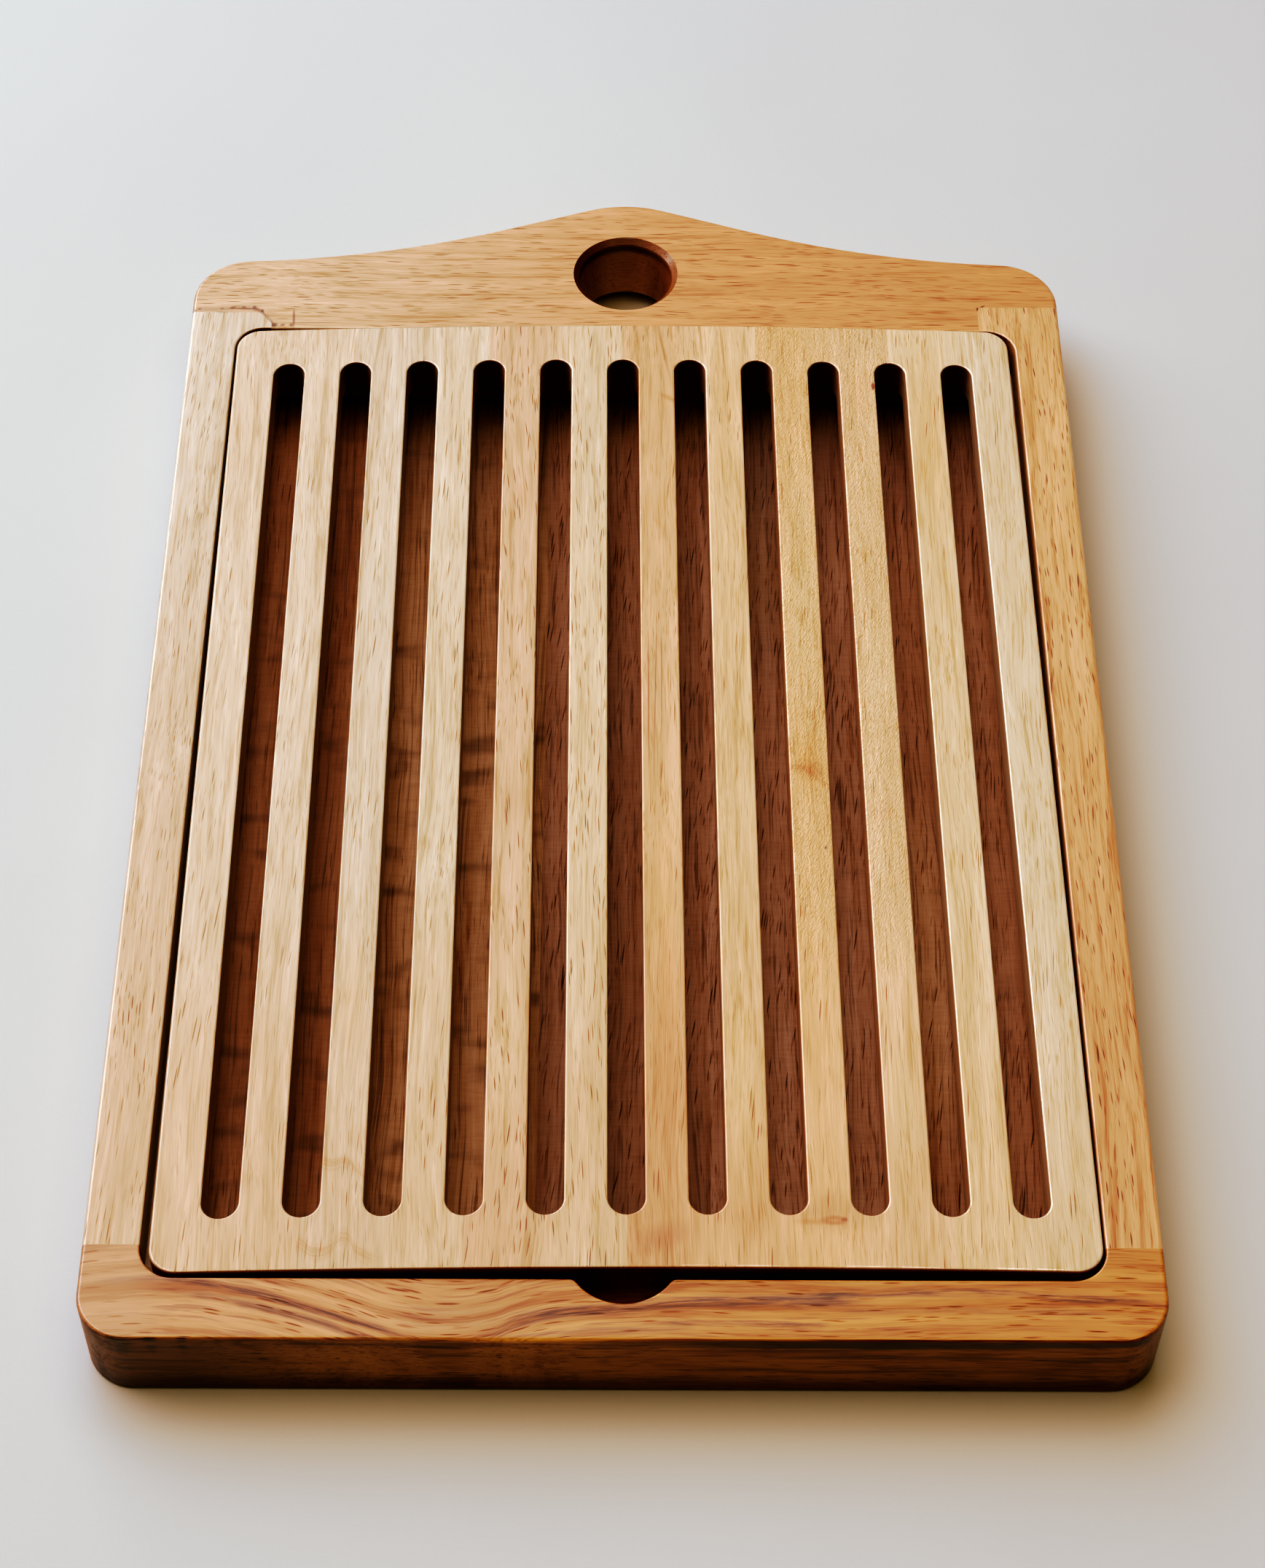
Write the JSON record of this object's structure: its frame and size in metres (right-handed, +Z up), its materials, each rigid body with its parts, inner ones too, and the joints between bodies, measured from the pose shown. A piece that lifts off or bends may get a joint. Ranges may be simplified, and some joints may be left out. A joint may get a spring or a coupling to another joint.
{
  "type": "bread board",
  "caption": "Slatted wooden bread board: a loose slotted grid lies in a dowelled tray over a crumb hollow, with an arched back rail that has a hanging hole.",
  "frame": {"origin": "on the table, under the middle of the board's outer length and width", "axes": "+X to the right stile, +Y to the hanging hole, +Z up"},
  "size_m": [0.28, 0.42, 0.0311],
  "materials": {
    "back_rail_wood": "sanded and lightly oiled",
    "front_rail_wood": "sanded and lightly oiled",
    "left_stile_wood": "sanded and lightly oiled",
    "right_stile_wood": "sanded and lightly oiled",
    "corner_dowels_wood": "sanded and lightly oiled",
    "floor_stave_1_wood": "sanded and lightly oiled",
    "floor_stave_2_wood": "sanded and lightly oiled",
    "floor_stave_3_wood": "sanded and lightly oiled",
    "floor_stave_4_wood": "sanded and lightly oiled",
    "floor_stave_5_wood": "sanded and lightly oiled",
    "grid_stave_1_wood": "sanded and lightly oiled",
    "grid_stave_2_wood": "sanded and lightly oiled",
    "grid_stave_3_wood": "sanded and lightly oiled",
    "grid_stave_4_wood": "sanded and lightly oiled",
    "grid_stave_5_wood": "sanded and lightly oiled",
    "grid_stave_6_wood": "sanded and lightly oiled"
  },
  "bodies": {
    "tray": {"back_rail": "back_rail_wood", "front_rail": "front_rail_wood", "left_stile": "left_stile_wood", "right_stile": "right_stile_wood", "corner_dowels": "corner_dowels_wood", "floor_stave_1": "floor_stave_1_wood", "floor_stave_2": "floor_stave_2_wood", "floor_stave_3": "floor_stave_3_wood", "floor_stave_4": "floor_stave_4_wood", "floor_stave_5": "floor_stave_5_wood"},
    "grid": {"grid_stave_1": "grid_stave_1_wood", "grid_stave_2": "grid_stave_2_wood", "grid_stave_3": "grid_stave_3_wood", "grid_stave_4": "grid_stave_4_wood", "grid_stave_5": "grid_stave_5_wood", "grid_stave_6": "grid_stave_6_wood"}
  },
  "joints": [
    {"name": "grid_lift", "type": "slide", "parent": "tray", "child": "grid", "axis": [0, 0, 1], "range_m": [0, 0.06]}
  ]
}
